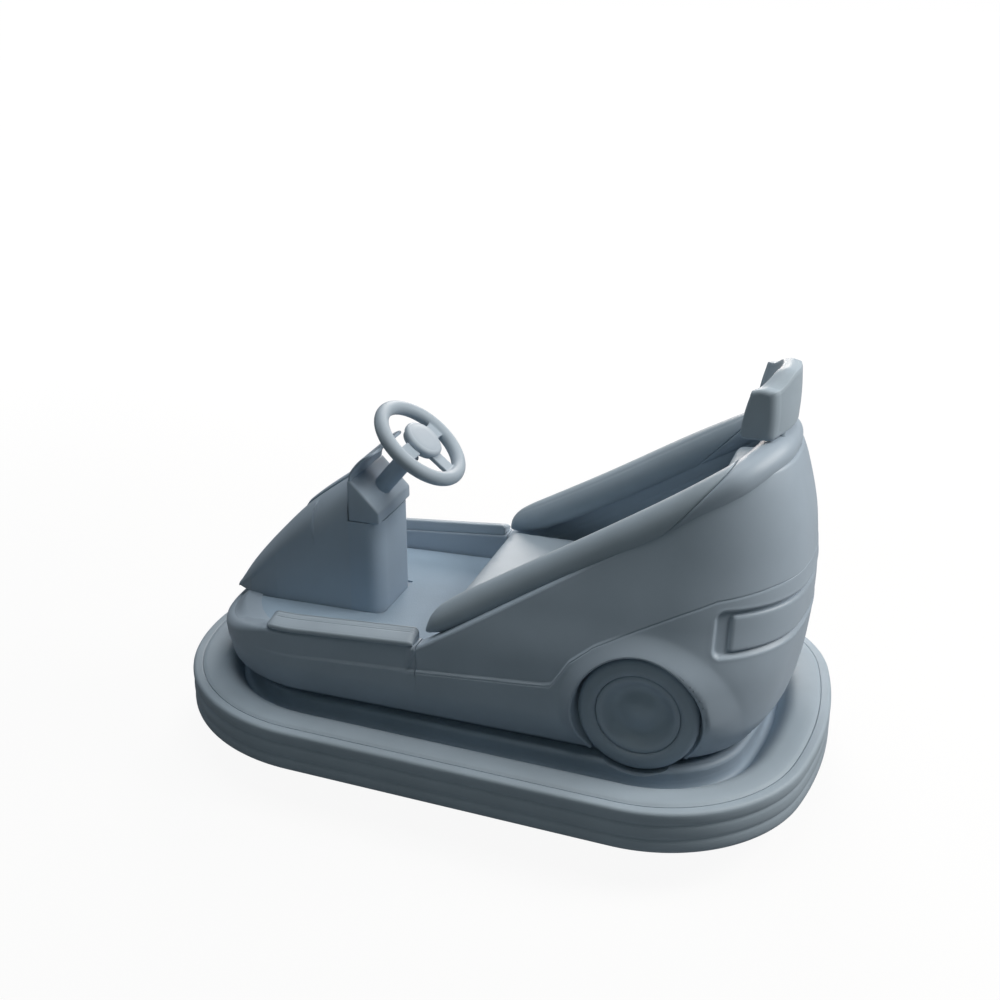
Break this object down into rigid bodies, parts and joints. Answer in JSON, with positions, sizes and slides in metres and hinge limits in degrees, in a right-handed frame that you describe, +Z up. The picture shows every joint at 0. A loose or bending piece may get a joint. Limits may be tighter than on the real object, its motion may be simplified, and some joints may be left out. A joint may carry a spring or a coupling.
{
  "type": "bumper car",
  "caption": "Low fairground bumper car: padded ring bumper, open tub body with high rear shell, soft side bolsters, headrest, dummy flank wheels and a steerable drive wheel.",
  "frame": {"origin": "on the floor, below the middle of the bumper", "axes": "+X forward to the nose, +Y to the car's left, +Z up"},
  "size_m": [1.7998, 1.1644, 1.162],
  "materials": {
    "bumper_rubber": "satin",
    "steel": "satin",
    "plinth": "satin",
    "mat": "matte",
    "body": "satin",
    "lamp": "satin",
    "trim": "satin",
    "console": "satin",
    "step": "satin",
    "padding": "satin",
    "wheel_rim": "satin",
    "hub": "satin",
    "motor": "satin",
    "tyre": "matte",
    "tyre_cover": "satin",
    "cap": "satin",
    "battery": "matte"
  },
  "bodies": {
    "root": {"battery": "battery", "bolster_left": "padding", "bolster_right": "padding", "bumper_casing": "bumper_rubber", "bumper_tube": "bumper_rubber", "chassis_plate": "steel", "console": "console", "dash_cowl": "trim", "dash_panel": "trim", "dummy_cap_left": "cap", "dummy_cap_right": "cap", "dummy_tyre_left": "tyre_cover", "dummy_tyre_right": "tyre_cover", "floor_mat": "mat", "floor_pan": "plinth", "headrest": "padding", "headrest_posts": "steel", "hood": "body", "hood_strip": "trim", "kingpin_bearing": "steel", "lower_body": "body", "pedal": "steel", "plinth": "plinth", "rear_bracket_left": "steel", "rear_bracket_right": "steel", "rear_lamp_band": "lamp", "rear_shell": "body", "seat_back": "padding", "seat_box": "console", "seat_cushion": "padding", "sill_step_left": "step", "sill_step_right": "step", "steering_column": "console"},
    "steering": {"steering_wheel": "wheel_rim", "steering_hub": "hub", "steering_shaft": "steel"},
    "fork": {"drive_fork": "steel", "drive_motor": "motor"},
    "drive_wheel": {"drive_rim": "steel", "drive_tyre": "tyre"},
    "rear_wheel_left": {"rear_rim_left": "steel", "rear_tyre_left": "tyre"},
    "rear_wheel_right": {"rear_rim_right": "steel", "rear_tyre_right": "tyre"}
  },
  "joints": [
    {"name": "fork_yaw", "type": "hinge", "parent": "root", "child": "fork", "pos_m": [0.43, 0, 0.25], "axis": [0, 0, 1], "continuous": true},
    {"name": "steering_turn", "type": "hinge", "parent": "root", "child": "steering", "pos_m": [0.238, 0, 0.849], "axis": [-0.6388, 0, 0.7694], "continuous": true},
    {"name": "drive_spin", "type": "hinge", "parent": "fork", "child": "drive_wheel", "pos_m": [0.43, 0, 0.1], "axis": [0, 1, 0], "continuous": true},
    {"name": "rear_left_spin", "type": "hinge", "parent": "root", "child": "rear_wheel_left", "pos_m": [-0.52, 0.262, 0.062], "axis": [0, 1, 0], "continuous": true},
    {"name": "rear_right_spin", "type": "hinge", "parent": "root", "child": "rear_wheel_right", "pos_m": [-0.52, -0.262, 0.062], "axis": [0, 1, 0], "continuous": true}
  ],
  "couplings": [
    {"joint": "steering_turn", "follows": "fork_yaw", "ratio": 1}
  ]
}
